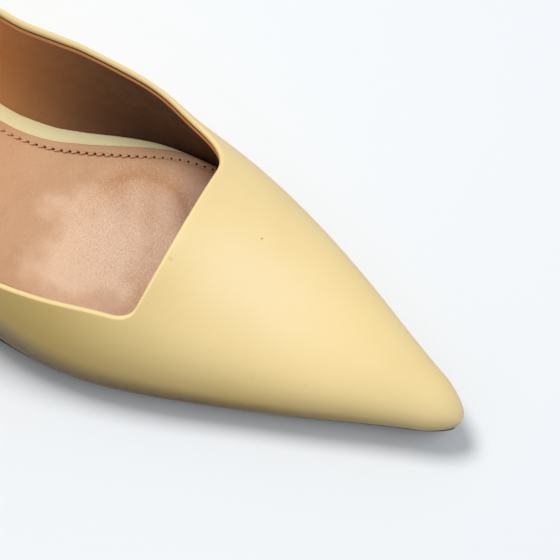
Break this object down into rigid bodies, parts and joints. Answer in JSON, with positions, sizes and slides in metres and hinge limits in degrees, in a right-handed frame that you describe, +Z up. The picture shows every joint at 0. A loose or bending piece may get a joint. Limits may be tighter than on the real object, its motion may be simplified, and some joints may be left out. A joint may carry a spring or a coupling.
{
  "type": "wedge pump",
  "caption": "Slip-on shoe for the right foot with a pointed toe, a low square throat, a closed back and a full wedge heel.",
  "frame": {"origin": "on the floor under the centre of the heel seat, on the underside of the outsole", "axes": "+X points to the toe, +Y to the inner side of the foot, +Z up"},
  "size_m": [0.2688, 0.0815, 0.0984],
  "materials": {
    "upper_leather": "smooth satin",
    "rim_leather": "smooth satin",
    "wedge_leather": "smooth satin",
    "sock_leather": "fine grain, low sheen",
    "sole_leather": "dark, low sheen"
  },
  "bodies": {
    "root": {"upper": "upper_leather", "insole": "rim_leather", "sock": "sock_leather", "wedge": "wedge_leather", "outsole": "sole_leather"}
  },
  "joints": []
}
